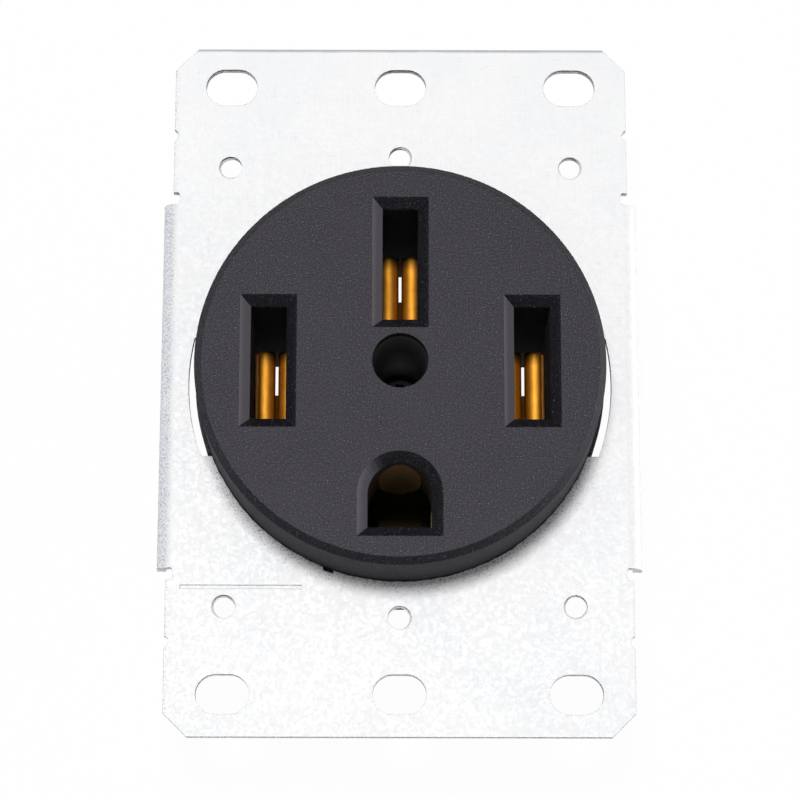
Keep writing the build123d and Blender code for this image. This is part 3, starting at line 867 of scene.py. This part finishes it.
def makeGroundEdge():
    # sheared edge of the ground jaw's side leaf, against the shaft's right wall, painted pale as a glint
    look = groundEdge
    rings = []
    for step in range(look["steps"] + 1):
        share = step / look["steps"]
        y = look["start"] + share * (look["end"] - look["start"])
        top = look["top"] - look["droop"] * (2 * share - 1) ** 4
        top += look["wave"] * math.sin(look["waves"] * share)
        profile = ((look["inner"], look["bottom"]), (look["inner"], top - look["bevel"]),
                   (look["inner"] + look["bevelInner"], top), (look["outer"] - look["bevelOuter"], top),
                   (look["outer"], top - look["bevel"]), (look["outer"], look["bottom"]))
        rings.append([(x * mm, y * mm, z * mm) for x, z in profile])
    sweep("ground_side_edge", rings, makeMetal("glint_edge", look))


makePlateThreads()
makeGroundEdge()
makePartingBead()
makeFootFlash()
makeOuterLeaves()
makeGroundTongue()
print("fine pieces made")


# studio: floor, room, lamps and camera
studio = {
    "floorSize": 4.0,
    "floorColour": (0.93, 0.93, 0.93, 1.0),
    "floorRoughness": 0.9,
    "whiteShare": 0.97,
    "fill": 0.21,
    "skyTop": 0.8,
    "skySide": 0.06,
    "skyRight": 0.4,
    "topRange": (0.35, 0.85),
    "rightRange": (0.30, 0.80),
}
lamps = {
    "overhead": {
        "place": (-0.036, 0.085, 0.79), "size": (0.17, 0.15), "power": 4.58, "colour": (1.0, 1.0, 1.0),
    },
    "right": {
        "place": (0.50, 0.0, 0.02), "size": (0.45, 0.07), "power": 1.22, "colour": (1.0, 1.0, 1.0),
    },
    "left": {
        "place": (-0.50, 0.0, 0.02), "size": (0.45, 0.07), "power": 0.38, "colour": (0.78, 0.87, 1.0),
    },
}
# fitted to the strap's hole pattern and the face's outline: 14 degrees off the face's axis, 380 mm away
view = {
    "place": (-0.998 * mm, -94.380 * mm, 368.900 * mm),
    "turn": (0.24537, -0.00265, 0.00218),
    "lens": 128.25,
    "sensor": 36.0,
    "nearest": 0.02,
}


def makeFloor():
    # white to the camera and to shiny surfaces, but for a little of its own shading
    low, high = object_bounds()
    mesh = bpy.data.meshes.new("floor")
    shape = bmesh.new()
    bmesh.ops.create_grid(shape, x_segments=1, y_segments=1, size=studio["floorSize"] / 2)
    shape.to_mesh(mesh)
    shape.free()
    floor = bpy.data.objects.new("floor", mesh)
    floor.location = (0, 0, low.z)
    bpy.context.scene.collection.objects.link(floor)
    material, tree, shader = newMaterial("floor")
    shader.inputs["Base Color"].default_value = studio["floorColour"]
    shader.inputs["Roughness"].default_value = studio["floorRoughness"]
    output = tree.nodes["Material Output"]
    glow = put(tree, "ShaderNodeEmission", {"Color": grey(1.0), "Strength": 1.0})
    rays = put(tree, "ShaderNodeLightPath")
    seen = calc(tree, "MAXIMUM", rays.outputs["Is Camera Ray"],
                calc(tree, "MAXIMUM", rays.outputs["Is Glossy Ray"], rays.outputs["Is Transmission Ray"]))
    mixed = put(tree, "ShaderNodeMixShader", {
        0: times(tree, seen, studio["whiteShare"]), 1: shader.outputs["BSDF"], 2: glow.outputs["Emission"],
    })
    tree.links.new(mixed.outputs["Shader"], output.inputs["Surface"])
    mesh.materials.append(material)


def makeWorld():
    # white to the camera; shiny surfaces see a pale ceiling and dimmer sides
    world = bpy.data.worlds.new("studio")
    world.use_nodes = True
    bpy.context.scene.world = world
    tree = world.node_tree
    tree.nodes.clear()
    output = tree.nodes.new("ShaderNodeOutputWorld")
    aimed = splitPlace(tree, put(tree, "ShaderNodeTexCoord").outputs["Generated"])
    room = remap(tree, aimed["Z"], *studio["topRange"], studio["skySide"], studio["skyTop"])
    right = remap(tree, aimed["X"], *studio["rightRange"], 0.0, studio["skyRight"])
    room = calc(tree, "MAXIMUM", room, right)
    rays = put(tree, "ShaderNodeLightPath")
    shiny = calc(tree, "MAXIMUM", rays.outputs["Is Glossy Ray"], rays.outputs["Is Transmission Ray"])
    fill = put(tree, "ShaderNodeBackground", {"Color": grey(1.0), "Strength": studio["fill"]})
    sky = put(tree, "ShaderNodeBackground", {"Color": grey(1.0), "Strength": room})
    white = put(tree, "ShaderNodeBackground", {"Color": grey(1.0), "Strength": 1.0})
    light = put(tree, "ShaderNodeMixShader", {0: shiny, 1: fill.outputs[0], 2: sky.outputs[0]})
    mixed = put(tree, "ShaderNodeMixShader", {
        0: rays.outputs["Is Camera Ray"], 1: light.outputs[0], 2: white.outputs[0],
    })
    tree.links.new(mixed.outputs[0], output.inputs["Surface"])


def makeLamp(name, look):
    # each lamp is turned towards the part
    lamp = bpy.data.lights.new(name, "AREA")
    lamp.shape = "RECTANGLE"
    lamp.size, lamp.size_y = look["size"]
    lamp.energy = look["power"]
    lamp.color = look["colour"]
    holder = bpy.data.objects.new(name, lamp)
    holder.location = look["place"]
    holder.rotation_euler = (-Vector(look["place"])).to_track_quat("-Z", "Y").to_euler()
    holder.visible_camera = False
    bpy.context.scene.collection.objects.link(holder)


def makeCamera(look):
    camera = bpy.data.cameras.new("camera")
    camera.lens = look["lens"]
    camera.sensor_width = look["sensor"]
    camera.clip_start = look["nearest"]
    holder = bpy.data.objects.new("camera", camera)
    holder.rotation_mode = "ZYX"
    holder.rotation_euler = look["turn"]
    holder.location = look["place"]
    bpy.context.scene.collection.objects.link(holder)
    bpy.context.scene.camera = holder


makeFloor()
makeWorld()
for name, look in lamps.items():
    makeLamp(name, look)
makeCamera(view)
bpy.context.scene.view_settings.view_transform = "Standard"
print("studio ready")
